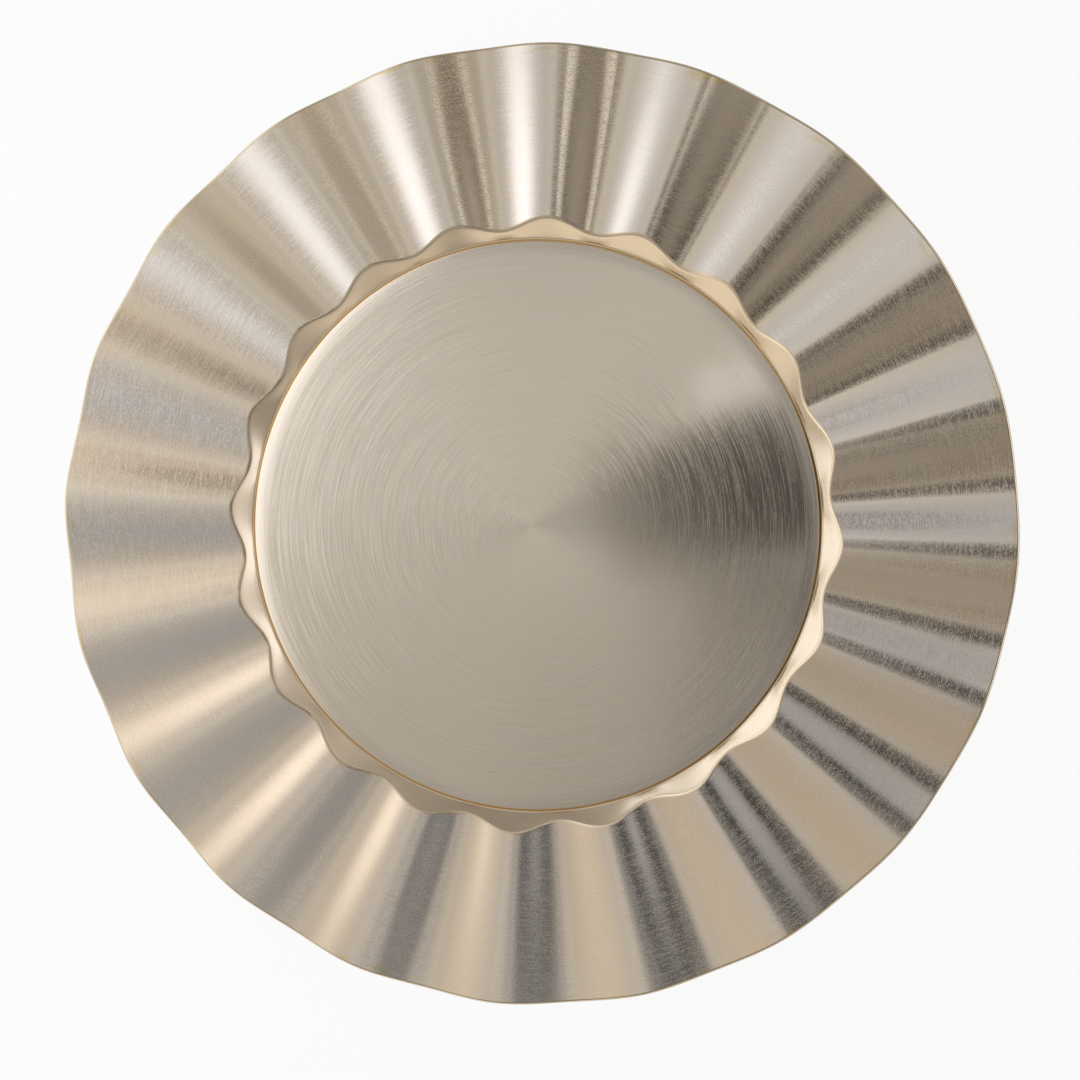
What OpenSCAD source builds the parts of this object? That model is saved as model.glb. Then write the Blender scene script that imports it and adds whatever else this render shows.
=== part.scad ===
// Charger plate with a ruffled rim, in millimetres.
// The plate stands on its foot ring at z = 0, with its axis on Z and one ridge of the ruffle on +X.
// It is one moulded shell that carries two pressed-on brushed foils, one in the well and one on the rim.

/* [Plate] */
// Diameter over the outer edge
plate_d = 330; // [310:5:350]
// Width of the cove and the rim together, from the flat disc of the well to the outer edge
rim_w = 65; // [56:1:75]
// Height of the outer edge above the table, midway between a ridge and a hollow
edge_z = 18.5; // [16:0.5:22]
// Thickness of the cove and of the rim
wall_t = 2; // [1.6:0.1:2.4]
// Radius of the rounded lip, along its upper edge
lip_r = 1; // [0.6:0.1:1.2]
// Size of the softened lower corner of the lip
lip_under_r = 0.4; // [0.2:0.1:0.4]

/* [Well] */
// Thickness of the floor under the flat disc that a dinner plate stands on
floor_t = 2.4; // [2:0.1:3]
// How far the disc stands above the fine groove around it
step_h = 0.4; // [0.2:0.1:0.6]
// Width of the groove between the disc and the cove
groove_w = 0.5; // [0.3:0.1:0.8]

/* [Foot] */
// How far the foot ring stands below the floor
foot_h = 1.6; // [1:0.1:2.4]
// Width of the foot ring
foot_w = 3; // [2.4:0.2:4]
// Size of the softened corners of the foot ring
foot_r = 0.5; // [0.2:0.1:0.8]

/* [Cove] */
// Steepness of the cove wall, in degrees
cove_angle = 45; // [38:1:52]
// Rise of the cove from the groove to the start of the rim
cove_h = 4.6; // [4:0.1:6]
// Radius of the hollow corner at the foot of the cove
cove_foot_r = 1.2; // [0.6:0.1:1.6]
// Radius of the rounded shoulder between the cove and the rim
shoulder_r = 2.2; // [1.4:0.1:2.8]

/* [Ruffle] */
// Number of ridges around the rim
ruffle_count = 20; // [16:1:22]
// Height of a ridge above the middle line at the outer edge
edge_wave_h = 1.8; // [1:0.1:2.6]
// Height of a ridge above the middle line at the shoulder
shoulder_wave_h = 1.6; // [1:0.1:2]
// How far the shoulder swings outwards at a ridge, and inwards at a hollow
shoulder_wave_r = 1.9; // [1:0.1:2.2]
// Upward slope of the rim where it leaves the shoulder, in degrees
rim_angle = 7; // [4:1:9]

/* [Foil] */
// Thickness of both foils
foil_t = 0.1; // [0.05:0.05:0.2]
// Bare margin of the disc around its foil
well_foil_margin = 0.4; // [0.2:0.1:1]

/* [Gate mark] */
// Diameter of the shallow recess under the middle of the floor
recess_d = 16; // [10:1:24]
// Depth of that recess
recess_h = 0.4; // [0.2:0.1:0.6]
// Diameter of the stub that the moulding gate leaves in the recess
gate_d = 4; // [2:0.5:6]
// Height of that stub
gate_h = 0.2; // [0.1:0.05:0.2]

/* [Hidden] */

// Steps along one ridge and its hollow, and along a round corner seen from the side
steps_per_ruffle = 12;
corner_steps = 3;
$fn = 96;
// How far a cut starts outside the face that it enters
overrun = 1;

edge_r = plate_d / 2;
well_r = edge_r - rim_w;
floor_z = foot_h + floor_t;
groove_z = floor_z - step_h;
groove_r = well_r + groove_w;
foot_in_r = well_r - foot_w;
// The cove's shell ends inside the floor, halfway across the foot ring
shell_in_r = well_r - foot_w / 2;

// Middle line of the upper surface, between the two round corners of the cove
cove_foot_end_r = groove_r + cove_foot_r * sin(cove_angle);
cove_foot_end_z = groove_z + cove_foot_r * (1 - cos(cove_angle));
rim_start_z = groove_z + cove_h;
shoulder_start_z = rim_start_z - shoulder_r * (cos(rim_angle) - cos(cove_angle));
shoulder_start_r = cove_foot_end_r + (shoulder_start_z - cove_foot_end_z) / tan(cove_angle);
rim_start_r = shoulder_start_r + shoulder_r * (sin(cove_angle) - sin(rim_angle));

// The rim runs from the shoulder to the lip, and steepens evenly on the way
rim_end_r = edge_r - lip_r;
rim_run = rim_end_r - rim_start_r;
rim_straight_rise = rim_run * tan(rim_angle);
rim_extra_rise = edge_z - rim_start_z - rim_straight_rise;
// Places of the rim's inner rings, as shares of its run
rim_ring_shares = [0.14, 0.5];
// How fast the sideways swing of the shoulder dies out along the rim
swing_power = 4;

function mix(a, b, share) = a + (b - a) * share;

// A ring is a closed wavy line around the plate, written as [radius, height, swing, wave].
// At a ridge its radius grows by swing and its height by wave. In a hollow they shrink as much.
// Both grow from nothing at the groove to their full size where the rim starts.
function cove_ring(r, z) =
    let (share = sin(90 * min(1, (z - groove_z) / cove_h)))
    [r, z, shoulder_wave_r * share, shoulder_wave_h * share];
function rim_z(share) = rim_start_z + rim_straight_rise * share + rim_extra_rise * pow(share, 2);
function rim_slope(share) = atan((rim_straight_rise + 2 * rim_extra_rise * share) / rim_run);
function rim_ring(share) = [
    mix(rim_start_r, rim_end_r, share),
    rim_z(share),
    shoulder_wave_r * pow(1 - share, swing_power),
    mix(shoulder_wave_h, edge_wave_h, share)
];
function edge_ring(r, z) = [r, z, 0, edge_wave_h];
// A ring of the underside, one wall below a ring of the upper surface that slopes at the given angle
function under(ring, slope) = [
    ring[0] + wall_t * sin(slope),
    ring[1] - wall_t * cos(slope),
    ring[2],
    ring[3]
];

// Upper surface, from the groove to the lip
cove_foot_rings = [
    for (i = [0:corner_steps - 1])
    let (slope = cove_angle * i / (corner_steps - 1))
    cove_ring(groove_r + cove_foot_r * sin(slope), groove_z + cove_foot_r * (1 - cos(slope)))
];
shoulder_rings = [
    for (i = [0:corner_steps])
    let (slope = mix(cove_angle, rim_angle, i / corner_steps))
    cove_ring(
        rim_start_r - shoulder_r * (sin(slope) - sin(rim_angle)),
        rim_start_z - shoulder_r * (cos(rim_angle) - cos(slope))
    )
];
rim_rings = [for (share = concat(rim_ring_shares, [1])) rim_ring(share)];

// Lip, with a round upper edge, an upright face and a softened lower corner
lip_rings = [
    edge_ring(rim_end_r + lip_r * sin(cove_angle), edge_z - lip_r * (1 - cos(cove_angle))),
    edge_ring(edge_r, edge_z - lip_r),
    edge_ring(edge_r, edge_z - wall_t + lip_under_r),
    edge_ring(edge_r - lip_under_r, edge_z - wall_t)
];

// Underside, from the lip back to the foot ring
under_rings = [
    for (i = [len(rim_ring_shares) - 1:-1:0])
        under(rim_ring(rim_ring_shares[i]), rim_slope(rim_ring_shares[i])),
    under(shoulder_rings[corner_steps], rim_angle),
    under(shoulder_rings[0], cove_angle),
    under(cove_foot_rings[corner_steps - 1], cove_angle),
    under(cove_foot_rings[0], 0)
];

shell_rings = concat(
    [[shell_in_r, groove_z, 0, 0]],
    cove_foot_rings,
    shoulder_rings,
    rim_rings,
    lip_rings,
    under_rings,
    [[shell_in_r, groove_z - wall_t, 0, 0]]
);

// The rim's foil lies from the end of the shoulder's round to the start of the lip's
rim_foil_rings = concat([shoulder_rings[corner_steps]], rim_rings);

// Points of a ring, step by step around the plate, raised by lift
function ring_points(ring, lift = 0) = [
    for (i = [0:ruffle_count * steps_per_ruffle - 1])
    let (
        turn = 360 * i / (ruffle_count * steps_per_ruffle),
        crest = cos(ruffle_count * turn),
        r = ring[0] + ring[2] * crest
    )
    [r * cos(turn), r * sin(turn), ring[1] + ring[3] * crest + lift]
];

// Closed solid around the plate, through a loop of rings given as lists of points
module ring_loft(rings) {
    around = len(rings[0]);
    count = len(rings);
    polyhedron(
        points = [for (ring = rings) each ring],
        faces = [
            for (i = [0:count - 1], j = [0:around - 1])
            let (
                next_i = (i + 1) % count,
                next_j = (j + 1) % around,
                a = i * around + j,
                b = i * around + next_j,
                c = next_i * around + next_j,
                d = next_i * around + j
            )
            each [[a, b, c], [a, c, d]]
        ]
    );
}

// Floor with its raised disc and the foot ring, cut by the gate's recess in the middle of the underside
module floor_and_foot() {
    recess_z = foot_h + recess_h;
    rotate_extrude()
        difference() {
            polygon([
                [0, foot_h],
                [foot_in_r, foot_h],
                [foot_in_r, foot_r],
                [foot_in_r + foot_r, 0],
                [well_r - foot_r, 0],
                [well_r, foot_r],
                [well_r, floor_z],
                [0, floor_z]
            ]);
            polygon([
                [0, foot_h - overrun],
                [recess_d / 2, foot_h - overrun],
                [recess_d / 2, recess_z],
                [gate_d / 2, recess_z],
                [gate_d / 2, recess_z - gate_h],
                [0, recess_z - gate_h]
            ]);
        }
}

module cove_and_rim() {
    ring_loft([for (ring = shell_rings) ring_points(ring)]);
}

module plate_moulding() {
    color("#c9a978") {
        floor_and_foot();
        cove_and_rim();
    }
}

module well_foil() {
    color("#c3b9a6")
        translate([0, 0, floor_z])
            cylinder(r = well_r - well_foil_margin, h = foil_t);
}

module rim_foil() {
    lower = [for (ring = rim_foil_rings) ring_points(ring)];
    upper = [
        for (i = [len(rim_foil_rings) - 1:-1:0])
        ring_points(rim_foil_rings[i], foil_t)
    ];
    color("#bcb1a0")
        ring_loft(concat(upper, lower));
}

plate_moulding();
well_foil();
rim_foil();
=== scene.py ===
"""A charger plate with a ruffled rim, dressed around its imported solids.

Every piece is in metres in the plate's own frame: +Z up along its axis, the table at z = 0 and one ridge of the ruffle
on +X. Sizes written in this file are in millimetres, as on a maker's drawing, and MM turns them to metres.
"""

import logging
import math
from dataclasses import dataclass, field
from enum import Enum
from typing import Any, Mapping, Sequence

import bpy
from mathutils import Matrix, Vector


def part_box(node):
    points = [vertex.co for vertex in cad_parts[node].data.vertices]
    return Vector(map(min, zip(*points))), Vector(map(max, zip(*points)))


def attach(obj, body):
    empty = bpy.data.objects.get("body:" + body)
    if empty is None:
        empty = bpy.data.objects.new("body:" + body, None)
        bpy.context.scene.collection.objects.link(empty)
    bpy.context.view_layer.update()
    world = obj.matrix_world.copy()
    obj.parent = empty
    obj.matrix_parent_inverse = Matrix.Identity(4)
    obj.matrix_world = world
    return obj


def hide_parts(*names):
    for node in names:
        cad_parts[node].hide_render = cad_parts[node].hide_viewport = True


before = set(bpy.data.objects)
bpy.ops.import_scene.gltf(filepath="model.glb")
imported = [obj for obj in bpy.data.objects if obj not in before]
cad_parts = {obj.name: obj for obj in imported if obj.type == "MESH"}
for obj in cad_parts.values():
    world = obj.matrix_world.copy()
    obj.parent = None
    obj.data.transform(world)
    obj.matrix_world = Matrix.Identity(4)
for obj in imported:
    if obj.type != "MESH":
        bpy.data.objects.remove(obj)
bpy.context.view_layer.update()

MM = 0.001
"""Metres in a millimetre."""

ROOT_BODY = "root"
SHARE_NAMES = ("cove_share", "rim_share")
"""What each point of a plain piece carries: how far it is up the cove, and how far out on the rim."""

MATH = "ShaderNodeMath"
VECTOR_MATH = "ShaderNodeVectorMath"
MAP_RANGE = "ShaderNodeMapRange"
"""The kinds of node that come up most."""

log = logging.getLogger("charger_plate")

Colour = tuple[float, float, float, float]
Ring = tuple[float, float, float, float]
Tree = bpy.types.NodeTree
Socket = bpy.types.NodeSocket
Material = bpy.types.Material
Object = bpy.types.Object


class Node(Enum):
    """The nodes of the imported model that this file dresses."""

    MOULDING = "plate_moulding"
    WELL_FOIL = "well_foil"
    RIM_FOIL = "rim_foil"


class Slot(Enum):
    """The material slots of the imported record."""

    LACQUER = "gold_lacquer"
    WELL = "brushed_foil"
    RIM = "rim_foil"


# Small helpers


def srgb(code: str, alpha: float = 1.0) -> Colour:
    """Turn an sRGB hex colour into linear light.

    Args:
        code: Six hex digits, with or without a leading #.
        alpha: Opacity, carried over as it is.

    Returns:
        Red, green, blue and alpha, linear.
    """
    digits = code.lstrip("#")
    parts = [int(digits[i : i + 2], 16) / 255 for i in (0, 2, 4)]
    red, green, blue = [p / 12.92 if p <= 0.04045 else ((p + 0.055) / 1.055) ** 2.4 for p in parts]
    return red, green, blue, alpha


def mix(low: float, high: float, share: float) -> float:
    """Return the value that lies at share of the way from low to high."""
    return low + (high - low) * share


def steps(count: int) -> list[float]:
    """Return count + 1 even steps from 0 to 1."""
    return [i / count for i in range(count + 1)]


def add_node(
    tree: Tree,
    kind: str,
    inputs: Mapping[str | int, Any] | Sequence[Any] = (),
    **settings: Any,
) -> bpy.types.Node:
    """Add one node to a tree, with its settings and what goes into its sockets.

    Args:
        tree: A material's, world's or geometry node tree.
        kind: The node's type name.
        inputs: A value or the output socket to link, for each input in order, or by its name or number.
        settings: Properties of the node by name.

    Returns:
        The new node.
    """
    node = tree.nodes.new(kind)
    for name, value in settings.items():
        setattr(node, name, value)
    keyed = inputs if isinstance(inputs, Mapping) else dict(enumerate(inputs))
    for key, value in keyed.items():
        if isinstance(value, Socket):
            tree.links.new(value, node.inputs[key])
        else:
            node.inputs[key].default_value = value
    return node


def new_material(name: str) -> tuple[Material, Tree]:
    """Make an empty node material.

    Args:
        name: The material's name.

    Returns:
        The material and its node tree, which holds no nodes.
    """
    material = bpy.data.materials.new(name)
    material.use_nodes = True
    material.node_tree.nodes.clear()
    return material, material.node_tree


def mesh_object(name: str, points: Sequence[Sequence[float]], faces: Sequence[Sequence[int]]) -> Object:
    """Make a mesh object from points in metres and link it to the scene.

    Args:
        name: Name of the object and of its mesh.
        points: Vertex places.
        faces: Vertex numbers of each face, counter-clockwise seen from outside.

    Returns:
        The object, at the origin.
    """
    mesh = bpy.data.meshes.new(name)
    mesh.from_pydata(points, [], faces)
    mesh.validate()
    made = bpy.data.objects.new(name, mesh)
    bpy.context.scene.collection.objects.link(made)
    return made


# The plate's shape


@dataclass(frozen=True)
class PlateSizes:
    """The plate's sizes in millimetres, as in the part's source."""

    edge_z: float = 18.5
    wall_t: float = 2.0
    lip_r: float = 1.0
    lip_under_r: float = 0.4
    rim_w: float = 65.0
    step_h: float = 0.4
    groove_w: float = 0.5
    foot_h: float = 1.6
    foot_w: float = 3.0
    foot_r: float = 0.5
    cove_angle: float = math.radians(45)
    cove_h: float = 4.6
    cove_foot_r: float = 1.2
    shoulder_r: float = 2.2
    ridges: int = 20
    edge_wave_h: float = 1.8
    shoulder_wave_h: float = 1.6
    shoulder_wave_r: float = 1.9
    swing_power: float = 4.0
    rim_angle: float = math.radians(7)
    foil_t: float = 0.1
    recess_d: float = 16.0
    recess_h: float = 0.4
    gate_d: float = 4.0
    gate_h: float = 0.2
    edge_r: float = field(default_factory=lambda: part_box(Node.MOULDING.value)[1][0] / MM)
    floor_z: float = field(default_factory=lambda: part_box(Node.WELL_FOIL.value)[0][2] / MM)
    well_foil_r: float = field(default_factory=lambda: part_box(Node.WELL_FOIL.value)[1][0] / MM)

    @property
    def well_r(self) -> float:
        """Radius of the flat disc."""
        return self.edge_r - self.rim_w

    @property
    def groove_r(self) -> float:
        """Radius at which the cove starts."""
        return self.well_r + self.groove_w

    @property
    def groove_z(self) -> float:
        """Height of the groove around the disc."""
        return self.floor_z - self.step_h

    @property
    def rim_start_z(self) -> float:
        """Height at which the rim starts."""
        return self.groove_z + self.cove_h

    @property
    def rim_start_r(self) -> float:
        """Radius at which the rim starts.

        Returns:
            The radius at the outer end of the rounded shoulder.
        """
        foot_r = self.groove_r + self.cove_foot_r * math.sin(self.cove_angle)
        foot_z = self.groove_z + self.cove_foot_r * (1 - math.cos(self.cove_angle))
        wall_z = self.rim_start_z - self.shoulder_r * (math.cos(self.rim_angle) - math.cos(self.cove_angle))
        wall_r = foot_r + (wall_z - foot_z) / math.tan(self.cove_angle)
        return wall_r + self.shoulder_r * (math.sin(self.cove_angle) - math.sin(self.rim_angle))

    @property
    def rim_end_r(self) -> float:
        """Radius at which the rim ends and the lip's round starts."""
        return self.edge_r - self.lip_r

    @property
    def rim_rises(self) -> tuple[float, float]:
        """Rise of the rim at its first slope, and what it rises beyond that by steepening."""
        straight = (self.rim_end_r - self.rim_start_r) * math.tan(self.rim_angle)
        return straight, self.edge_z - self.rim_start_z - straight

    def rim_slope(self, share: float) -> float:
        """Return the rim's slope in radians at a share of its run."""
        straight, extra = self.rim_rises
        return math.atan((straight + 2 * extra * share) / (self.rim_end_r - self.rim_start_r))

    def cove_share(self, height: float) -> float:
        """Return how much of the ruffle the cove has at a height."""
        return math.sin(math.pi / 2 * min(1.0, max(0.0, (height - self.groove_z) / self.cove_h)))

    def cove_ring(self, radius: float, height: float) -> Ring:
        """Return a ring of the cove as radius, height, share of the cove and share of the rim."""
        return radius, height, self.cove_share(height), 0.0

    def rim_ring(self, share: float) -> Ring:
        """Return a ring of the rim.

        Args:
            share: Where it lies, from 0 at the shoulder to 1 at the lip.

        Returns:
            The ring.
        """
        straight, extra = self.rim_rises
        radius = mix(self.rim_start_r, self.rim_end_r, share)
        return radius, self.rim_start_z + straight * share + extra * share**2, 1.0, share

    def under(self, ring: Ring, slope: float) -> Ring:
        """Return the ring of the underside below a ring of the upper side that slopes at the given angle."""
        return ring[0] + self.wall_t * math.sin(slope), ring[1] - self.wall_t * math.cos(slope), ring[2], ring[3]

    def cove_foot_rings(self, count: int, radius: float) -> list[Ring]:
        """Return the rings of the hollow corner between the groove and the cove.

        Args:
            count: Number of steps.
            radius: The radius that the corner is rounded to.

        Returns:
            The rings from the groove up to the cove.
        """
        start_r = self.groove_r + (self.cove_foot_r - radius) * math.tan(self.cove_angle / 2)
        return [
            self.cove_ring(
                start_r + radius * math.sin(self.cove_angle * share),
                self.groove_z + radius * (1 - math.cos(self.cove_angle * share)),
            )
            for share in steps(count)
        ]

    def shoulder_slopes(self, count: int) -> list[float]:
        """Return the slopes at the rings of the rounded shoulder."""
        return [mix(self.cove_angle, self.rim_angle, share) for share in steps(count)]

    def shoulder_rings(self, count: int) -> list[Ring]:
        """Return the rings of the rounded shoulder.

        Args:
            count: Number of steps.

        Returns:
            The rings from the cove up to the rim.
        """
        return [
            self.cove_ring(
                self.rim_start_r - self.shoulder_r * (math.sin(slope) - math.sin(self.rim_angle)),
                self.rim_start_z - self.shoulder_r * (math.cos(self.rim_angle) - math.cos(slope)),
            )
            for slope in self.shoulder_slopes(count)
        ]


def flat_ring(radius: float, height: float) -> Ring:
    """Return a ring that the ruffle doesn't reach."""
    return radius, height, 0.0, 0.0


def round_corner(centre: tuple[float, float], radius: float, start: float, end: float, count: int) -> list[Ring]:
    """Return flat rings along a round corner.

    Args:
        centre: Radius and height of the corner's centre.
        radius: The corner's own radius.
        start: First angle in degrees, where 0 points outwards and 90 up.
        end: Last angle in degrees.
        count: Number of steps.

    Returns:
        The rings in order.
    """
    angles = [math.radians(mix(start, end, share)) for share in steps(count)]
    return [flat_ring(centre[0] + radius * math.cos(a), centre[1] + radius * math.sin(a)) for a in angles]


@dataclass
class RuffleTree:
    """Geometry Nodes that press the ruffle into a round plate.

    The tree moves each point of the plain piece by the cosine of its angle around the axis times the number of ridges,
    as far as the point's two shares let it.
    """

    sizes: PlateSizes
    name: str = "press_the_ruffle"

    def build(self) -> Tree:
        """Build the tree.

        Returns:
            The node group, with its sizes as named inputs.
        """
        tree = bpy.data.node_groups.new(self.name, "GeometryNodeTree")
        tree.interface.new_socket("Geometry", in_out="INPUT", socket_type="NodeSocketGeometry")
        for label in ("Ridges", "Swing", "Swing power", "Shoulder wave", "Edge wave"):
            tree.interface.new_socket(label, in_out="INPUT", socket_type="NodeSocketFloat")
        tree.interface.new_socket("Finish", in_out="INPUT", socket_type="NodeSocketMaterial")
        tree.interface.new_socket("Geometry", in_out="OUTPUT", socket_type="NodeSocketGeometry")
        given = add_node(tree, "NodeGroupInput").outputs
        readers = [
            add_node(tree, "GeometryNodeInputNamedAttribute", {"Name": name}, data_type="FLOAT")
            for name in SHARE_NAMES
        ]
        cove, rim = [reader.outputs["Attribute"] for reader in readers]
        place = add_node(tree, "GeometryNodeInputPosition").outputs[0]
        x, y, _ = add_node(tree, "ShaderNodeSeparateXYZ", (place,)).outputs
        turn = add_node(tree, MATH, (y, x), operation="ARCTAN2").outputs[0]
        waves = add_node(tree, MATH, (turn, given["Ridges"]), operation="MULTIPLY").outputs[0]
        crest = add_node(tree, MATH, (waves,), operation="COSINE").outputs[0]

        inward = add_node(tree, MATH, (1.0, rim), operation="SUBTRACT").outputs[0]
        inward = add_node(tree, MATH, (inward, given["Swing power"]), operation="POWER").outputs[0]
        swing = given["Swing"]
        for factor in (cove, inward, crest):
            swing = add_node(tree, MATH, (swing, factor), operation="MULTIPLY").outputs[0]
        height = add_node(tree, MATH, (given["Edge wave"], given["Shoulder wave"]), operation="SUBTRACT").outputs[0]
        height = add_node(tree, MATH, (height, rim, given["Shoulder wave"]), operation="MULTIPLY_ADD").outputs[0]
        for factor in (cove, crest):
            height = add_node(tree, MATH, (height, factor), operation="MULTIPLY").outputs[0]

        offset: list[Socket] = []
        for ratio in ("COSINE", "SINE"):
            part = add_node(tree, MATH, (turn,), operation=ratio).outputs[0]
            offset.append(add_node(tree, MATH, (part, swing), operation="MULTIPLY").outputs[0])
        offset.append(height)
        moves = add_node(tree, "ShaderNodeCombineXYZ", offset).outputs[0]
        moved = add_node(tree, "GeometryNodeSetPosition", {"Geometry": given["Geometry"], "Offset": moves})
        real = add_node(tree, "GeometryNodeRealizeInstances", (moved.outputs[0],))
        dressed = add_node(tree, "GeometryNodeSetMaterial", {"Geometry": real.outputs[0], "Material": given["Finish"]})
        add_node(tree, "NodeGroupOutput", (dressed.outputs[0],))
        return tree

    def press(self, piece: Object, tree: Tree, finish: Material) -> None:
        """Press the ruffle into a piece and keep the result as its plain mesh.

        Args:
            piece: A round piece whose points carry cove_share and rim_share.
            tree: The tree that build made.
            finish: The piece's material.
        """
        values = {
            "Ridges": float(self.sizes.ridges),
            "Swing": self.sizes.shoulder_wave_r * MM,
            "Swing power": self.sizes.swing_power,
            "Shoulder wave": self.sizes.shoulder_wave_h * MM,
            "Edge wave": self.sizes.edge_wave_h * MM,
            "Finish": finish,
        }
        modifier = piece.modifiers.new("ruffle", "NODES")
        modifier.node_group = tree
        for item in tree.interface.items_tree:
            if item.item_type == "SOCKET" and item.in_out == "INPUT" and item.name in values:
                modifier[item.identifier] = values[item.name]
        graph = bpy.context.evaluated_depsgraph_get()
        pressed = bpy.data.meshes.new_from_object(piece.evaluated_get(graph), depsgraph=graph)
        plain = piece.data
        piece.modifiers.remove(modifier)
        piece.data = pressed
        bpy.data.meshes.remove(plain)
        pressed.name = piece.name


@dataclass
class RoundPiece:
    """A piece of the plate, turned about its axis from a line of rings and then pressed.

    With closed_loop, the last ring joins the first, as on a piece with a hole in its middle.
    """

    sizes: PlateSizes
    name: str
    node: Node
    slot: Slot
    closed_loop: bool = False
    turns: int = 720
    sharp_angle: float = math.radians(35)

    def rings(self) -> list[Ring]:
        """Return the rings in order, from the top of the piece over its outer edge to its underside."""
        raise NotImplementedError

    def make(self, ruffle: RuffleTree, tree: Tree, finish: Material) -> Object:
        """Make the piece.

        Args:
            ruffle: What presses the waves into it.
            tree: The tree of nodes that does so.
            finish: Its material.

        Returns:
            The finished object, riding on the plate's body.
        """
        piece = self._turned()
        ruffle.press(piece, tree, finish)
        piece.data.shade_smooth()
        piece.data.set_sharp_from_angle(angle=self.sharp_angle)
        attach(piece, ROOT_BODY)
        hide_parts(self.node.value)
        log.info("%s: %d faces", piece.name, len(piece.data.polygons))
        return piece

    def _turned(self) -> Object:
        """Turn the rings about the axis.

        Returns:
            A closed mesh whose points carry the two shares.
        """
        rings = self.rings()
        angles = [math.tau * i / self.turns for i in range(self.turns)]
        compass = [(math.cos(a), math.sin(a)) for a in angles]
        points: list[tuple[float, float, float]] = []
        shares: list[tuple[float, float]] = []
        starts: list[int] = []
        for radius, height, cove, rim in rings:
            starts.append(len(points))
            spots = compass if radius > 0 else [(0.0, 0.0)]
            points += [(radius * MM * c, radius * MM * s, height * MM) for c, s in spots]
            shares += [(cove, rim)] * len(spots)
        pairs = list(zip(range(len(rings) - 1), range(1, len(rings))))
        if self.closed_loop:
            pairs.append((len(rings) - 1, 0))
        faces: list[tuple[int, ...]] = []
        for inner, outer in pairs:
            faces += self._band(starts[inner], rings[inner][0] > 0, starts[outer], rings[outer][0] > 0)
        piece = mesh_object(self.name, points, faces)
        for number, label in enumerate(SHARE_NAMES):
            layer = piece.data.attributes.new(label, "FLOAT", "POINT")
            layer.data.foreach_set("value", [share[number] for share in shares])
        return piece

    def _band(self, first: int, first_is_ring: bool, second: int, second_is_ring: bool) -> list[tuple[int, ...]]:
        """Return the faces between two neighbouring rings.

        Args:
            first: Number of the first ring's first point.
            first_is_ring: Whether it is a ring, and not a single point on the axis.
            second: Number of the second ring's first point.
            second_is_ring: Whether that one is a ring.

        Returns:
            The point numbers of each face.
        """
        made: list[tuple[int, ...]] = []
        for i in range(self.turns):
            j = (i + 1) % self.turns
            if not first_is_ring:
                made.append((first, second + i, second + j))
            elif not second_is_ring:
                made.append((first + i, second, first + j))
            else:
                made.append((first + i, second + i, second + j, first + j))
        return made


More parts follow.
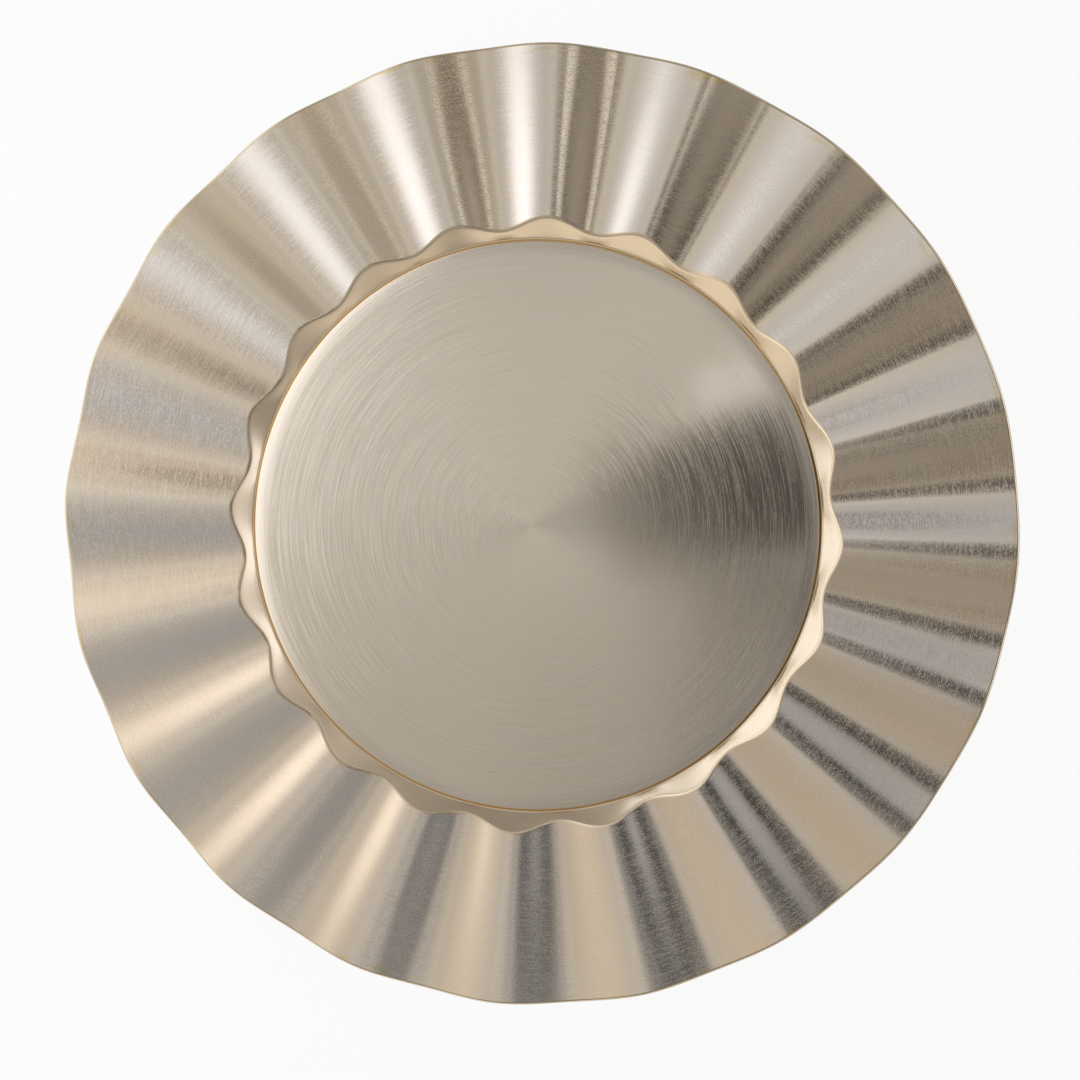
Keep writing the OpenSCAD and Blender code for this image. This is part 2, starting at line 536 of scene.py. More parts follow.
@dataclass
class PlateMoulding(RoundPiece):
    """The moulded plate itself, from the disc of the well over the rim to the foot ring."""

    name: str = "moulded_plate"
    node: Node = Node.MOULDING
    slot: Slot = Slot.LACQUER
    disc_edge_r: float = 0.12
    crisp_foot_r: float = 0.5
    foot_fillet_r: float = 0.3
    disc_shares: tuple[float, ...] = (0.0, 0.04, 0.2, 0.45, 0.7, 0.9, 0.98)
    cove_wall_shares: tuple[float, ...] = (0.25, 0.5, 0.75)
    under_rim_shares: tuple[float, ...] = (0.92, 0.75, 0.55, 0.38, 0.24, 0.14, 0.06)
    floor_shares: tuple[float, ...] = (0.8, 0.55, 0.3)
    under_steps: int = 3

    def rings(self) -> list[Ring]:
        """Return the rings of the upper side, the lip, the underside and the foot ring."""
        return self._well() + self._upper_side() + self._lip() + self._underside() + self._foot()

    def _well(self) -> list[Ring]:
        """Draw the disc, its softened edge and the groove around it.

        Returns:
            The rings from the axis outwards.
        """
        s = self.sizes
        flat = [flat_ring(s.well_r * share, s.floor_z) for share in self.disc_shares]
        edge = round_corner((s.well_r - self.disc_edge_r, s.floor_z - self.disc_edge_r), self.disc_edge_r, 90, 0, 3)
        return flat + edge + [flat_ring(s.well_r, s.groove_z)]

    def _upper_side(self) -> list[Ring]:
        """Draw the cove, the shoulder and the rim.

        Returns:
            The rings from the groove outwards.
        """
        s = self.sizes
        foot = s.cove_foot_rings(5, self.crisp_foot_r)
        shoulder = s.shoulder_rings(7)
        wall = [
            s.cove_ring(mix(foot[-1][0], shoulder[0][0], share), mix(foot[-1][1], shoulder[0][1], share))
            for share in self.cove_wall_shares
        ]
        return foot + wall + shoulder + [s.rim_ring(share) for share in rim_shares()[1:]]

    def _lip(self) -> list[Ring]:
        """Draw the rounded lip and its upright face.

        Returns:
            The rings from the rim over the edge.
        """
        s = self.sizes
        top = round_corner((s.rim_end_r, s.edge_z - s.lip_r), s.lip_r, 90 - math.degrees(s.rim_slope(1)), 0, 6)
        low = round_corner(
            (s.edge_r - s.lip_under_r, s.edge_z - s.wall_t + s.lip_under_r), s.lip_under_r, 0, -90, 3
        )
        return [(radius, height, 1.0, 1.0) for radius, height, _, _ in top + low]

    def _underside(self) -> list[Ring]:
        """Draw the underside of the rim, the shoulder and the cove.

        Returns:
            The rings from the lip inwards.
        """
        s = self.sizes
        count = self.under_steps
        rim = [s.under(s.rim_ring(share), s.rim_slope(share)) for share in self.under_rim_shares]
        shoulder = [s.under(ring, slope) for ring, slope in zip(s.shoulder_rings(count), s.shoulder_slopes(count))]
        foot_slopes = [s.cove_angle * share for share in steps(count)]
        foot = [s.under(ring, slope) for ring, slope in zip(s.cove_foot_rings(count, s.cove_foot_r), foot_slopes)]
        return rim + shoulder[::-1] + foot[::-1]

    def _foot(self) -> list[Ring]:
        """Draw the foot ring, the floor's underside and the gate's recess with its stub.

        Returns:
            The rings from the cove inwards to the axis.
        """
        s = self.sizes
        inner_r = s.well_r - s.foot_w
        fillet = self.foot_fillet_r
        outside = round_corner((s.well_r + fillet, s.foot_h - fillet), fillet, 90, 180, 3)
        outer_corner = round_corner((s.well_r - s.foot_r, s.foot_r), s.foot_r, 0, -90, 4)
        inner_corner = round_corner((inner_r + s.foot_r, s.foot_r), s.foot_r, -90, -180, 4)
        inside = round_corner((inner_r - fillet, s.foot_h - fillet), fillet, 0, 90, 3)
        recess_z = s.foot_h + s.recess_h
        recess = [
            flat_ring(s.recess_d / 2 + fillet, s.foot_h),
            flat_ring(s.recess_d / 2, s.foot_h + fillet / 2),
            flat_ring(s.recess_d / 2, recess_z),
            flat_ring(s.gate_d / 2, recess_z),
            flat_ring(s.gate_d / 2 - s.gate_h / 2, recess_z - s.gate_h),
            flat_ring(0.0, recess_z - s.gate_h),
        ]
        floor = [flat_ring(inner_r * share, s.foot_h) for share in self.floor_shares]
        return outside + outer_corner + inner_corner + inside + floor + recess


@dataclass
class WellFoil(RoundPiece):
    """The brushed foil on the flat disc of the well."""

    name: str = "well_foil_disc"
    node: Node = Node.WELL_FOIL
    slot: Slot = Slot.WELL
    shares: tuple[float, ...] = (0.0, 0.03, 0.1, 0.25, 0.45, 0.65, 0.85, 0.95)

    def rings(self) -> list[Ring]:
        """Draw the foil's upper side, its rounded edge and its underside.

        Returns:
            The rings from the axis outwards and back to it.
        """
        s = self.sizes
        top = [flat_ring(s.well_foil_r * share, s.floor_z + s.foil_t) for share in self.shares]
        edge = round_corner((s.well_foil_r - s.foil_t / 2, s.floor_z + s.foil_t / 2), s.foil_t / 2, 90, -90, 8)
        return top + edge + [flat_ring(s.well_foil_r * share, s.floor_z) for share in self.shares[::-1]]


@dataclass
class RimFoil(RoundPiece):
    """The brushed foil on the ruffled rim, from the shoulder to the lip."""

    name: str = "rim_foil_ruffled"
    node: Node = Node.RIM_FOIL
    slot: Slot = Slot.RIM
    closed_loop: bool = True

    def rings(self) -> list[Ring]:
        """Draw the foil's upper side and its underside.

        Returns:
            The rings from the shoulder to the lip, and back below.
        """
        s = self.sizes
        low = [s.rim_ring(share) for share in rim_shares()]
        top = [(radius, height + s.foil_t, cove, rim) for radius, height, cove, rim in low]
        return top + low[::-1]


def rim_shares(count: int = 26, crowding: float = 1.4) -> list[float]:
    """Return the places of the rim's rings as shares of its run, close together where the shoulder's swing dies out."""
    return [share**crowding for share in steps(count)]


# Finishes


@dataclass(frozen=True)
class AroundAxis:
    """Places on the plate as a lathe hand sees them, looking down on it.

    Radius is in millimetres, turn is the angle, and unit is the direction away from the axis.
    """

    tree: Tree
    flat: Socket
    radius: Socket
    turn: Socket
    unit: Socket

    @classmethod
    def of(cls, tree: Tree) -> "AroundAxis":
        """Read the places from the piece's own coordinates.

        Args:
            tree: A material's tree.

        Returns:
            The places, as sockets of that tree.
        """
        place = add_node(tree, "ShaderNodeTexCoord").outputs["Object"]
        flat = add_node(tree, VECTOR_MATH, (place, (1.0, 1.0, 0.0)), operation="MULTIPLY").outputs[0]
        length = add_node(tree, VECTOR_MATH, (flat,), operation="LENGTH").outputs["Value"]
        radius = add_node(tree, MATH, (length, MM), operation="DIVIDE").outputs[0]
        x, y, _ = add_node(tree, "ShaderNodeSeparateXYZ", (flat,)).outputs
        turn = add_node(tree, MATH, (y, x), operation="ARCTAN2").outputs[0]
        unit = add_node(tree, VECTOR_MATH, (flat,), operation="NORMALIZE").outputs[0]
        return cls(tree, flat, radius, turn, unit)

    def streaks(self, spacing: float, around: float, detail: float = 1.0, seed: float = 0.0) -> Socket:
        """Return a noise of short lines that run round the axis and join up without a seam.

        Args:
            spacing: Distance between neighbouring lines in millimetres.
            around: How many times a line's length fits into one radian.
            detail: Octaves of the noise.
            seed: A shift of the pattern.

        Returns:
            The noise, around 0, from about -0.3 to 0.3.
        """
        across = add_node(self.tree, MATH, (self.radius, 1.0 / spacing, seed), operation="MULTIPLY_ADD").outputs[0]
        lift = add_node(self.tree, "ShaderNodeCombineXYZ", {"Z": across}).outputs[0]
        spot = add_node(self.tree, VECTOR_MATH, {0: self.unit, "Scale": around}, operation="SCALE").outputs[0]
        spot = add_node(self.tree, VECTOR_MATH, (spot, lift), operation="ADD").outputs[0]
        noise = add_node(self.tree, "ShaderNodeTexNoise", {"Vector": spot, "Scale": 1.0, "Detail": detail}).outputs[0]
        return add_node(self.tree, MATH, (noise, 0.5), operation="SUBTRACT").outputs[0]

    def strip(self, fade_in: tuple[float, float], fade_out: tuple[float, float]) -> Socket:
        """Return 1 in a narrow strip round the axis and 0 beside it.

        Args:
            fade_in: Radii between which the strip starts.
            fade_out: Radii between which it ends.

        Returns:
            The strip's cover.
        """
        covers = [
            add_node(self.tree, MAP_RANGE, (self.radius, *radii), interpolation_type="SMOOTHSTEP").outputs[0]
            for radii in (fade_in, fade_out[::-1])
        ]
        return add_node(self.tree, MATH, covers, operation="MULTIPLY").outputs[0]


@dataclass(frozen=True)
class BrushedFoil:
    """Hot-stamped aluminium foil with a champagne tint, brushed in circles round the plate's axis.

    Between the brush lines it mirrors softly. The lines themselves scatter light across themselves and hardly along
    themselves, so reflections are drawn out towards the axis, and the lines show where something dark is mirrored.
    Smooth and brushed are the roughness between the lines and on them. Lean and tilt are how far a line's normal swings
    along the line and across it.
    """

    name: str
    neutral: str
    warm: str
    mean_r: float
    smooth: float
    brushed: float
    drawn_out: float
    long_share: float
    long_mm: float
    contrast: float
    lean: float
    tilt: float
    ridges: int = 0
    edge_r: float = 0.0
    line_mm: float = 0.3
    short_mm: float = 0.9
    scored_from_to: tuple[float, float] = (-0.04, 0.1)
    band_mm: float = 24.0
    band_w_mm: float = 2.1
    band_shade: float = 0.06
    band_tint: float = 0.5
    coat_roughness: float = 0.06
    tint_lag: float = math.radians(11)
    speck_mm: float = 0.3
    speck_gap_mm: float = 14.0
    speck_h_mm: float = 0.02
    worn_w_mm: float = 4.5
    worn_patches: tuple[float, float] = (0.0, 0.12)
    worn_crests: tuple[float, float] = (-0.2, 0.7)
    worn_line_mm: float = 1.6
    worn_patch_mm: float = 9.0
    worn_most: float = 0.7
    worn_gold: str = "#D9BE86"

    def build(self) -> Material:
        """Build the material.

        Returns:
            The foil's material.
        """
        material, tree = new_material(self.name)
        axis = AroundAxis.of(tree)
        # Real brush lines are 0.05 to 0.2 mm apart. Noise with steps of 0.3 mm gives the finest lines that show.
        short = axis.streaks(self.line_mm, self.mean_r / self.short_mm)
        long = axis.streaks(self.line_mm, self.mean_r / self.long_mm, seed=20.0)
        bands = axis.streaks(self.band_w_mm, self.mean_r / self.band_mm, detail=2.0, seed=40.0)
        lines = add_node(tree, MATH, (short, 1 - self.long_share), operation="MULTIPLY").outputs[0]
        lines = add_node(tree, MATH, (long, self.long_share, lines), operation="MULTIPLY_ADD").outputs[0]

        shade: Any = 1.0
        for noise, contrast in ((lines, self.contrast), (bands, self.band_shade)):
            shade = add_node(tree, MATH, (noise, contrast, shade), operation="MULTIPLY_ADD").outputs[0]
        tint = self._tint(axis, bands)
        colour = add_node(tree, VECTOR_MATH, {0: tint, "Scale": shade}, operation="SCALE").outputs[0]
        if self.edge_r > 0:
            colour = self._worn_lip(axis, colour)

        scored = add_node(tree, MAP_RANGE, (lines, *self.scored_from_to), interpolation_type="SMOOTHSTEP").outputs[0]
        rougher = self.brushed - self.smooth
        roughness = add_node(tree, MATH, (scored, rougher, self.smooth), operation="MULTIPLY_ADD").outputs[0]
        inputs = {
            "Base Color": colour,
            "Metallic": 1.0,
            "Roughness": roughness,
            "Anisotropic": self.drawn_out,
            "Anisotropic Rotation": 0.25,
            "Coat Weight": 1.0,
            "Coat Roughness": self.coat_roughness,
            "Normal": self._relief(axis, lines, long),
            "Tangent": add_node(tree, "ShaderNodeTangent", direction_type="RADIAL", axis="Z").outputs[0],
        }
        shader = add_node(tree, "ShaderNodeBsdfPrincipled", inputs)
        add_node(tree, "ShaderNodeOutputMaterial", (shader.outputs[0],))
        return material

    def _tint(self, axis: AroundAxis, bands: Socket) -> Socket:
        """Return the foil's colour, warmer on one side of each ridge.

        Args:
            axis: Places around the axis.
            bands: A slow noise around 0 that makes the tint a little uneven.

        Returns:
            The colour before the brush lines.
        """
        tree = axis.tree
        if self.ridges:
            phase = add_node(tree, MATH, (axis.turn, float(self.ridges), self.tint_lag), operation="MULTIPLY_ADD")
            side = add_node(tree, MATH, (phase.outputs[0],), operation="SINE").outputs[0]
            share = add_node(tree, MATH, (side, -0.5, 0.5), operation="MULTIPLY_ADD").outputs[0]
            share = add_node(tree, MATH, (bands, self.band_tint, share), operation="MULTIPLY_ADD").outputs[0]
        else:
            share = add_node(tree, MAP_RANGE, (bands, -0.3, 0.3), interpolation_type="SMOOTHSTEP").outputs[0]
        inputs = {"Factor": share, "A": srgb(self.neutral), "B": srgb(self.warm)}
        return add_node(tree, "ShaderNodeMix", inputs, data_type="RGBA").outputs["Result"]

    def _relief(self, axis: AroundAxis, lines: Socket, arcs: Socket) -> Socket:
        """Return the normal with each brush line leaning a little, and a few specks of dust under the foil.

        Args:
            axis: Places around the axis.
            lines: The noise of all the brush lines, around 0, which lean along themselves.
            arcs: The noise of the long lines alone, around 0, which tilt across themselves.

        Returns:
            The normal.
        """
        tree, gap = axis.tree, self.speck_gap_mm * MM
        specks = {"Vector": axis.flat, "Scale": 1 / gap, "Randomness": 1.0}
        apart = add_node(tree, "ShaderNodeTexVoronoi", specks, voronoi_dimensions="2D").outputs["Distance"]
        reach = self.speck_mm * MM / gap
        height = add_node(tree, MAP_RANGE, (apart, reach, 0.0), interpolation_type="SMOOTHSTEP").outputs[0]
        height = add_node(tree, MATH, (height, self.speck_h_mm), operation="MULTIPLY").outputs[0]
        normal = add_node(tree, "ShaderNodeBump", {"Strength": 1.0, "Distance": MM, "Height": height}).outputs[0]
        along = add_node(tree, VECTOR_MATH, ((0.0, 0.0, 1.0), axis.unit), operation="CROSS_PRODUCT").outputs[0]
        for way, noise, most in ((along, lines, self.lean), (axis.unit, arcs, self.tilt)):
            share = add_node(tree, MATH, (noise, most), operation="MULTIPLY").outputs[0]
            swing = add_node(tree, VECTOR_MATH, {0: way, "Scale": share}, operation="SCALE").outputs[0]
            normal = add_node(tree, VECTOR_MATH, (normal, swing), operation="ADD").outputs[0]
        return add_node(tree, VECTOR_MATH, (normal,), operation="NORMALIZE").outputs[0]

    def _worn_lip(self, axis: AroundAxis, colour: Socket) -> Socket:
        """Return the colour with the foil rubbed thin beside the lip, mostly on the ridges.

        Args:
            axis: Places around the axis.
            colour: The foil's colour so far.

        Returns:
            The colour with the gold lacquer showing through.
        """
        tree = axis.tree
        waves = add_node(tree, MATH, (axis.turn, float(self.ridges)), operation="MULTIPLY").outputs[0]
        crest = add_node(tree, MATH, (waves,), operation="COSINE").outputs[0]
        rubs = axis.streaks(self.worn_line_mm, self.mean_r / self.worn_patch_mm, detail=3.0, seed=15.0)
        near = (self.edge_r - self.worn_w_mm, self.edge_r)
        share: Any = self.worn_most
        for value, rise in ((axis.radius, near), (rubs, self.worn_patches), (crest, self.worn_crests)):
            risen = add_node(tree, MAP_RANGE, (value, *rise), interpolation_type="SMOOTHSTEP").outputs[0]
            share = add_node(tree, MATH, (risen, share), operation="MULTIPLY").outputs[0]
        inputs = {"Factor": share, "A": colour, "B": srgb(self.worn_gold)}
        return add_node(tree, "ShaderNodeMix", inputs, data_type="RGBA").outputs["Result"]


@dataclass(frozen=True)
class GoldLacquer:
    """Gold metallic lacquer sprayed on moulded plastic, satin under a thin clear coat.

    Fine flakes and faint polishing lines give it a soft shine that stays bright along the shoulder. In the groove
    around the disc it has painted shade, a deeper orange gold for the light that bounces there. Past the foil's end
    the bare lacquer shows, painted a darker olive gold as shade along the foil's edge. Over the lip's outer side it
    has painted shade, a darker mauve for the darker things it mirrors, and it is duller there.
    """

    sizes: PlateSizes
    name: str = "sprayed_gold_lacquer"
    gold: str = "#DFCAAC"
    # Painted shade: a deeper orange gold in the groove around the disc.
    groove_painted_shade: str = "#B98C48"
    # Bare lacquer past the foil's end, painted a darker olive gold as shade along the foil's edge.
    lip_gold: str = "#B3A26C"
    # Painted shade: a darker mauve on the lip's outer side, for the darker things it mirrors.
    lip_side_painted_shade: str = "#A8948A"
    underside: str = "#C4A878"
    flake_mm: float = 0.35
    flake_h_mm: float = 0.006
    cloud_mm: float = 14.0
    polish_mm: float = 0.25
    polish_line_mm: float = 6.0
    satin: float = 0.22
    duller: float = 0.18

    def build(self) -> Material:
        """Build the material.

        Returns:
            The lacquer's material.
        """
        s = self.sizes
        material, tree = new_material(self.name)
        axis = AroundAxis.of(tree)
        place = add_node(tree, "ShaderNodeTexCoord").outputs["Object"]
        # Real flakes are 0.02 to 0.05 mm across. They are drawn 0.35 mm across to show at all.
        grains: list[Socket] = []
        for size, detail in ((self.flake_mm, 1.0), (self.cloud_mm, 2.0)):
            pattern = {"Vector": place, "Scale": 1 / (size * MM), "Detail": detail}
            noise = add_node(tree, "ShaderNodeTexNoise", pattern).outputs[0]
            grains.append(add_node(tree, MATH, (noise, 0.5), operation="SUBTRACT").outputs[0])
        flakes, cloud = grains
        # Real polishing lines are under 0.1 mm apart. They are drawn 0.25 mm apart, as fine as the render shows.
        polish = axis.streaks(self.polish_mm, s.groove_r / self.polish_line_mm, seed=60.0)

        # Each strip fades in and out over a few tenths of a millimetre.
        # The groove strip gets painted shade, a deeper orange gold for the light that bounces in the narrow groove.
        groove = axis.strip((s.well_r - 0.1, s.well_r + 0.05), (s.groove_r, s.groove_r + 0.3))
        # Past the foil's end the bare lacquer shows; its darker olive gold is painted shade along the foil's edge.
        foil_end = axis.strip((s.rim_end_r - 0.1, s.rim_end_r), (s.rim_end_r + 0.2, s.rim_end_r + 0.35))
        facing = add_node(tree, "ShaderNodeNewGeometry").outputs["Normal"]
        _, _, up = add_node(tree, "ShaderNodeSeparateXYZ", (facing,)).outputs
        # The side mask gives the lip's outer side painted shade and makes it duller; below marks the underside.
        side, below = [
            add_node(tree, MAP_RANGE, rise, interpolation_type="SMOOTHSTEP").outputs[0]
            for rise in ((axis.radius, s.edge_r - 0.4, s.edge_r - 0.25), (up, 0.0, -0.2))
        ]
        # The groove, the foil's end and the lip's side get painted shade; the underside gets its own colour.
        colour: Any = srgb(self.gold)
        tones = (self.groove_painted_shade, self.lip_gold, self.lip_side_painted_shade, self.underside)
        for where, tone in zip((groove, foil_end, side, below), tones):
            mixed = {"Factor": where, "A": colour, "B": srgb(tone)}
            colour = add_node(tree, "ShaderNodeMix", mixed, data_type="RGBA").outputs["Result"]
        shade: Any = 1.0
        dull = add_node(tree, MATH, (below, side), operation="MAXIMUM").outputs[0]
        roughness = add_node(tree, MATH, (dull, self.duller, self.satin), operation="MULTIPLY_ADD").outputs[0]
        # Flakes, cloud and polishing lines: what each does to the colour and to the roughness.
        for noise, darker, rougher in ((flakes, 0.08, 0.0), (cloud, 0.08, 0.06), (polish, 0.1, 0.12)):
            shade = add_node(tree, MATH, (noise, darker, shade), operation="MULTIPLY_ADD").outputs[0]
            roughness = add_node(tree, MATH, (noise, rougher, roughness), operation="MULTIPLY_ADD").outputs[0]
        inputs = {
            "Base Color": add_node(tree, VECTOR_MATH, {0: colour, "Scale": shade}, operation="SCALE").outputs[0],
            "Metallic": 0.92,
            "Roughness": roughness,
            "Coat Weight": 1.0,
            "Coat Roughness": 0.1,
            "Normal": add_node(tree, "ShaderNodeBump", {"Distance": self.flake_h_mm * MM, "Height": flakes}).outputs[0],
        }
        shader = add_node(tree, "ShaderNodeBsdfPrincipled", inputs)
        add_node(tree, "ShaderNodeOutputMaterial", (shader.outputs[0],))
        return material


# Studio


@dataclass(frozen=True)
class PhotoCamera:
    """The photograph's viewpoint, in millimetres from the middle of the table under the plate.

    Places are first given along the photograph's own right, up and towards-the-viewer axes. Turn is the angle from
    those axes to the plate's frame, which has a ridge on +X.
    """

    place: tuple[float, float, float] = (79.79, 8.89, 604.0)
    pitch: float = math.radians(-1.30)
    yaw: float = math.radians(7.29)
    turn: float = math.radians(-14.5)
    lens: float = 57.41
    sensor: float = 36.0

    def make(self) -> Object:
        """Make the camera and give it to the scene.

        Returns:
            The camera object.
        """
        data = bpy.data.cameras.new("photo_camera")
        data.lens = self.lens
        data.sensor_fit = "HORIZONTAL"
        data.sensor_width = self.sensor
        data.clip_start = 0.01
        data.clip_end = 50.0
        data.dof.use_dof = False
        camera = bpy.data.objects.new("photo_camera", data)
        bpy.context.scene.collection.objects.link(camera)
        aim = Matrix.Rotation(self.yaw, 4, "Y") @ Matrix.Rotation(self.pitch, 4, "X")
        camera.matrix_world = self.studio() @ Matrix.Translation(Vector(self.place) * MM) @ aim
        bpy.context.scene.camera = camera
        return camera

    def studio(self) -> Matrix:
        """Return the turn from the photograph's axes to the plate's frame."""
        return Matrix.Rotation(self.turn, 4, "Z")


@dataclass(frozen=True)
class Card:
    """A card beside or over the table that the plate mirrors and the camera doesn't see.

    It glows evenly, brighter or darker than the scrim behind it, and fades out along its borders. Sizes are in
    millimetres along the photograph's axes. A card lies level unless it is tipped up.
    """

    name: str
    centre: tuple[float, float, float]
    half: tuple[float, float]
    turned: float
    glow: float
    fade: float
    colour: str = "#FFFFFF"
    tipped: float = 0.0

    def make(self, turn: Matrix) -> Object:
        """Hang the card.

        Args:
            turn: The turn from the photograph's axes to the plate's frame.

        Returns:
            The card, as a stage object.
        """
        wide, long = [(size + self.fade / 2) * MM for size in self.half]
        corners = [(-wide, -long, 0), (wide, -long, 0), (wide, long, 0), (-wide, long, 0)]
        card = mesh_object(self.name, corners, [(0, 3, 2, 1)])
        card.data.materials.append(self._cloth())
        hung = Matrix.Translation(Vector(self.centre) * MM) @ Matrix.Rotation(math.radians(self.turned), 4, "Z")
        card.matrix_world = turn @ hung @ Matrix.Rotation(math.radians(self.tipped), 4, "X")
        card.visible_camera = False
        return card

    def _cloth(self) -> Material:
        """Build the card's even glow, which fades out along its borders.

        Returns:
            The card's material.
        """
        material, tree = new_material(self.name + "_card")
        place = add_node(tree, "ShaderNodeTexCoord").outputs["Object"]
        sides = add_node(tree, "ShaderNodeSeparateXYZ", (place,)).outputs
        soft = self.fade / 2
        covers: list[Socket] = []
        for side, size in zip(sides, self.half):
            away = add_node(tree, MATH, (side,), operation="ABSOLUTE").outputs[0]
            border = ((size + soft) * MM, (size - soft) * MM)
            covers.append(add_node(tree, MAP_RANGE, (away, *border), interpolation_type="SMOOTHSTEP").outputs[0])
        share = add_node(tree, MATH, covers, operation="MULTIPLY").outputs[0]
        clear = add_node(tree, "ShaderNodeBsdfTransparent").outputs[0]
        lit = add_node(tree, "ShaderNodeEmission", {"Color": srgb(self.colour), "Strength": self.glow}).outputs[0]
        both = add_node(tree, "ShaderNodeMixShader", (share, clear, lit))
        add_node(tree, "ShaderNodeOutputMaterial", (both.outputs[0],))
        return material


@dataclass(frozen=True)
class Scrim:
    """A wide domed scrim over the table, lit from outside, which gives the plate its soft surroundings.

    Its glow changes from the photograph's left to its right and from the near side to the far side, where -1 and 1
    are the dome's feet.
    """

    turn: Matrix
    radius: float = 1500.0
    around: int = 96
    levels: int = 16
    brightest: float = 1.8
    across: tuple[tuple[float, float], ...] = (
        (-1.0, 1.0),
        (-0.75, 1.1),
        (-0.5, 0.95),
        (-0.3, 0.8),
        (-0.2, 0.85),
        (-0.1, 0.7),
        (0.1, 0.8),
        (0.35, 0.85),
        (0.55, 1.1),
        (0.7, 0.55),
        (1.0, 0.6),
    )
    upward: tuple[tuple[float, float, str], ...] = (
        (-1.0, 0.45, "#FFFCF6"),
        (-0.5, 0.55, "#FEFFFF"),
        (-0.2, 0.7, "#FFFBF3"),
        (0.1, 0.9, "#FFFFFF"),
        (0.35, 0.75, "#FFFFFF"),
        (0.6, 1.0, "#FFFFFF"),
        (0.75, 0.6, "#FFFFFF"),
        (1.0, 0.4, "#FFFFFF"),
    )

    def make(self) -> Object:
        """Make the dome.

        Returns:
            The scrim, as a stage object.
        """
        around, reach = self.around, self.radius * MM
        points = [(0.0, 0.0, reach)]
        for level in range(1, self.levels + 1):
            down = math.pi / 2 * level / self.levels
            out, height = reach * math.sin(down), reach * math.cos(down)
            points += [
                (out * math.cos(math.tau * i / around), out * math.sin(math.tau * i / around), height)
                for i in range(around)
            ]
        faces: list[tuple[int, ...]] = [(0, 1 + (i + 1) % around, 1 + i) for i in range(around)]
        for level in range(self.levels - 1):
            base = 1 + level * around
            for i in range(around):
                j = (i + 1) % around
                faces.append((base + i, base + j, base + around + j, base + around + i))
        scrim = mesh_object("overhead_scrim", points, faces)
        scrim.data.materials.append(self._cloth())
        scrim.matrix_world = self.turn
        scrim.visible_camera = False
        return scrim

    def _cloth(self) -> Material:
        """Build the glowing cloth, whose brightness follows the place on the dome.

        Returns:
            The cloth's material.
        """
        material, tree = new_material("scrim_cloth")
        place = add_node(tree, "ShaderNodeTexCoord").outputs["Object"]
        x, y, _ = add_node(tree, "ShaderNodeSeparateXYZ", (place,)).outputs
        greys = [(spot, (level, level, level)) for spot, level in self.across]
        tints = [(spot, [level * part for part in srgb(code)]) for spot, level, code in self.upward]
        ramps = (self._ramp(tree, x, greys), self._ramp(tree, y, tints))
        colour = add_node(tree, VECTOR_MATH, ramps, operation="MULTIPLY").outputs[0]
        glow = add_node(tree, "ShaderNodeEmission", {"Color": colour, "Strength": self.brightest**2})
        add_node(tree, "ShaderNodeOutputMaterial", (glow.outputs[0],))
        return material

    def _ramp(self, tree: Tree, value: Socket, stops: Sequence[tuple[float, Sequence[float]]]) -> Socket:
        """Return the glow along a ramp that runs over the dome.

        Args:
            tree: The cloth's tree.
            value: Distance from the middle in metres.
            stops: Place from -1 to 1, and the glow there.

        Returns:
            The glow as a share of the brightest, which a ramp's colours can hold.
        """
        reach = self.radius * MM
        spread = add_node(tree, MAP_RANGE, (value, -reach, reach)).outputs[0]
        ramp = add_node(tree, "ShaderNodeValToRGB", (spread,))
        elements = ramp.color_ramp.elements
        elements.remove(elements[-1])
        for number, (spot, glow) in enumerate(stops):
            stop = elements[0] if number == 0 else elements.new((spot + 1) / 2)
            stop.position = (spot + 1) / 2
            stop.color = [min(1.0, part / self.brightest) for part in glow[:3]] + [1.0]
        return ramp.outputs[0]


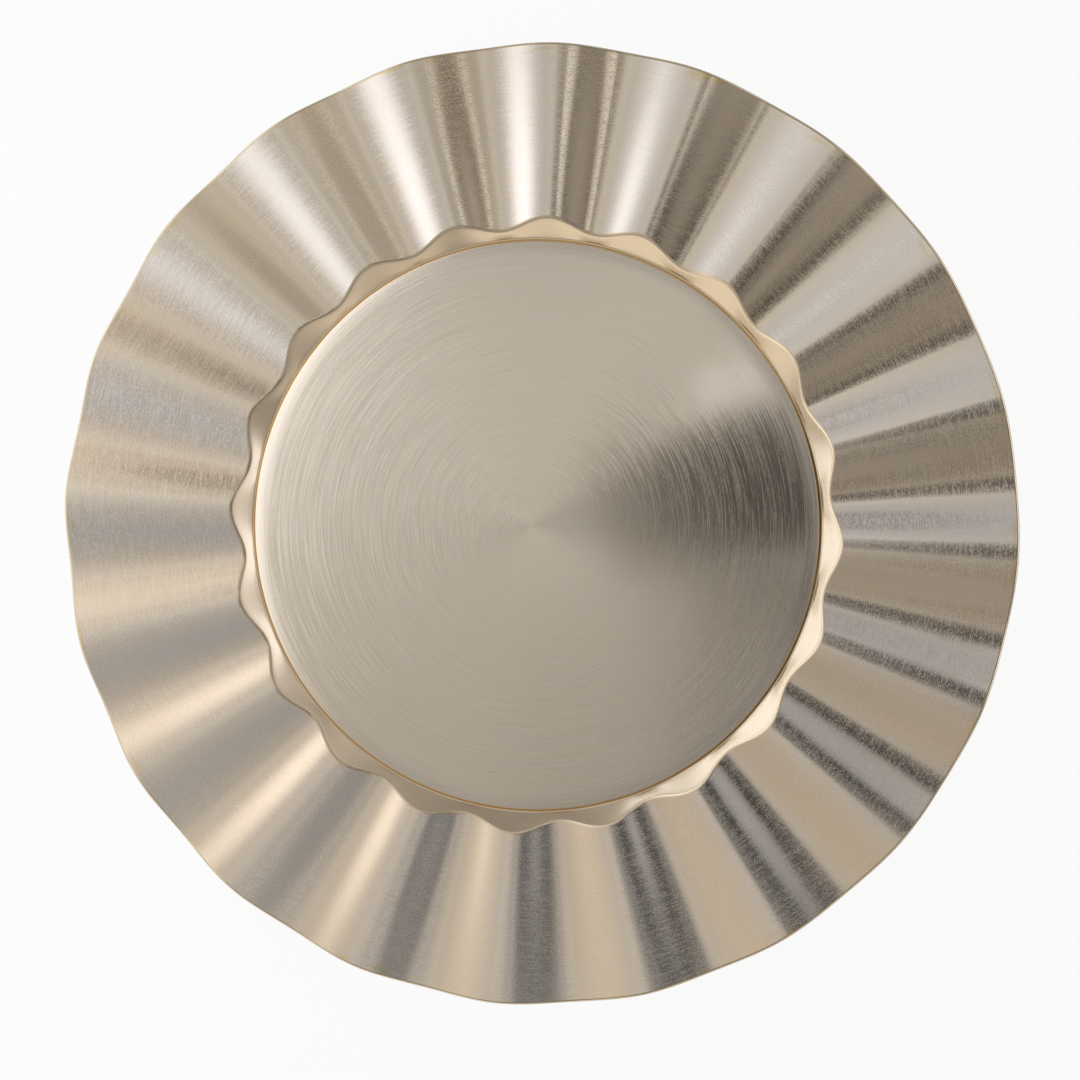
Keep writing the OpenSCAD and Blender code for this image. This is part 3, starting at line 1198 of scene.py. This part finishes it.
@dataclass(frozen=True)
class Studio:
    """Pale floor, scrim and cards around the plate."""

    turn: Matrix
    floor_half_m: float = 6.0
    floor_white: float = 0.92

    def make(self) -> None:
        """Make everything that the plate stands on and is lit by."""
        self._floor()
        self._world()
        Scrim(self.turn).make()
        for card in self._cards():
            card.make(self.turn)

    def _cards(self) -> list[Card]:
        """List what the plate mirrors: soft boxes, panes and windows that glow, and flags that are dark.

        Returns:
            The cards, each with its name and Card's values in order.
        """
        return [
            Card("left_softbox", (-315, 20, 275), (110, 280), -19, 1.9, 100, "#F8FAFF"),
            Card("upper_card", (0, 85, 605), (130, 110), 18, 0.8, 10, "#F6F8F3"),
            Card("small_pane", (70, 70, 365), (25, 15), 5, 2.0, 10),
            Card("camera_flag", (80, 20, 255), (25, 35), 5, 0.0, 20),
            Card("body_flag", (80, -85, 320), (40, 60), -10, 0.0, 15),
            Card("low_flag", (65, 20, 505), (90, 45), 12, 0.0, 25),
            Card("boom_flag", (410, 260, 960), (395, 125), -9, 0.5, 75),
            Card("right_flag", (240, -55, 800), (80, 190), 12, 0.1, 10),
            Card("near_flag", (75, -335, 320), (100, 245), -18, 0.35, 120),
            Card("side_flag", (195, 115, 240), (80, 110), -43, 0.45, 70),
            Card("far_flag", (125, 545, 1075), (440, 60), 0, 0.2, 50),
            Card("left_window", (-1060, 450, 80), (900, 160), 67, 2.1, 120, "#ECF3FF", 90),
            Card("right_window", (1150, 160, 200), (600, 250), -82, 1.9, 80, "#F0F3FF", 90),
            Card("near_window", (-600, -1040, 160), (900, 200), -30, 1.2, 260, "#FFFAF2", 90),
            Card("near_right_window", (655, -1005, 180), (520, 200), 33, 0.9, 260, "#FFFAF2", 90),
            Card("low_right_flag", (460, -385, 760), (700, 180), 50, 0.1, 100, "#E8DED6", 90),
            Card("high_right_flag", (520, 330, 780), (650, 190), -58, 0.1, 100, "#E8DED6", 90),
        ]

    def _floor(self) -> None:
        """Make a pale floor that shows white to the camera and keeps the plate's soft shadow."""
        half = self.floor_half_m
        corners = [(-half, -half, 0), (half, -half, 0), (half, half, 0), (-half, half, 0)]
        floor = mesh_object("studio_floor", corners, [(0, 1, 2, 3)])
        material, tree = new_material("studio_floor_white")
        rays = add_node(tree, "ShaderNodeLightPath").outputs
        seen = add_node(tree, MATH, (rays["Is Camera Ray"], rays["Is Glossy Ray"]), operation="MAXIMUM").outputs[0]
        share = add_node(tree, MATH, (seen, self.floor_white), operation="MULTIPLY").outputs[0]
        pale = add_node(tree, "ShaderNodeBsdfDiffuse", {"Color": srgb("#F2F1EF")}).outputs[0]
        lit = add_node(tree, "ShaderNodeEmission", {"Color": (1, 1, 1, 1), "Strength": 1.0}).outputs[0]
        both = add_node(tree, "ShaderNodeMixShader", (share, pale, lit))
        add_node(tree, "ShaderNodeOutputMaterial", (both.outputs[0],))
        floor.data.materials.append(material)

    def _world(self) -> None:
        """Make plain white air, which the camera sees behind the table."""
        world = bpy.data.worlds.new("studio_air")
        world.use_nodes = True
        tree = world.node_tree
        tree.nodes.clear()
        rays = add_node(tree, "ShaderNodeLightPath").outputs
        seen = rays["Is Camera Ray"]
        for kind in ("Is Glossy Ray", "Is Transmission Ray"):
            seen = add_node(tree, MATH, (seen, rays[kind]), operation="MAXIMUM").outputs[0]
        soft = add_node(tree, "ShaderNodeBackground", {"Color": srgb("#E0DCD5"), "Strength": 1.0}).outputs[0]
        white = add_node(tree, "ShaderNodeBackground", {"Color": (1, 1, 1, 1), "Strength": 1.0}).outputs[0]
        both = add_node(tree, "ShaderNodeMixShader", (seen, soft, white))
        add_node(tree, "ShaderNodeOutputWorld", (both.outputs[0],))
        bpy.context.scene.world = world


def main() -> None:
    """Build the camera, the studio and the plate's pieces in order."""
    logging.basicConfig(level=logging.INFO, format="%(name)s %(message)s")
    scene = bpy.context.scene
    scene.view_settings.view_transform = "Standard"
    view = PhotoCamera()
    view.make()
    Studio(view.studio()).make()
    sizes = PlateSizes()
    ruffle = RuffleTree(sizes)
    tree = ruffle.build()
    lacquer = GoldLacquer(sizes).build()
    well = BrushedFoil(
        name="brushed_champagne_foil_well",
        neutral="#D9CDBD",
        warm="#D8CAB7",
        mean_r=60.0,
        smooth=0.19,
        brushed=0.26,
        drawn_out=0.77,
        long_share=0.7,
        long_mm=18.0,
        contrast=0.45,
        lean=0.03,
        tilt=0.08,
    ).build()
    rim = BrushedFoil(
        name="brushed_champagne_foil_rim",
        neutral="#DFD5CB",
        warm="#DCC7AC",
        mean_r=130.0,
        smooth=0.18,
        brushed=0.29,
        drawn_out=0.75,
        long_share=0.45,
        long_mm=6.0,
        contrast=0.1,
        lean=0.04,
        tilt=0.03,
        ridges=sizes.ridges,
        edge_r=sizes.rim_end_r,
    ).build()
    PlateMoulding(sizes).make(ruffle, tree, lacquer)
    WellFoil(sizes).make(ruffle, tree, well)
    RimFoil(sizes).make(ruffle, tree, rim)
    bpy.data.node_groups.remove(tree)


if __name__ == "__main__":
    main()
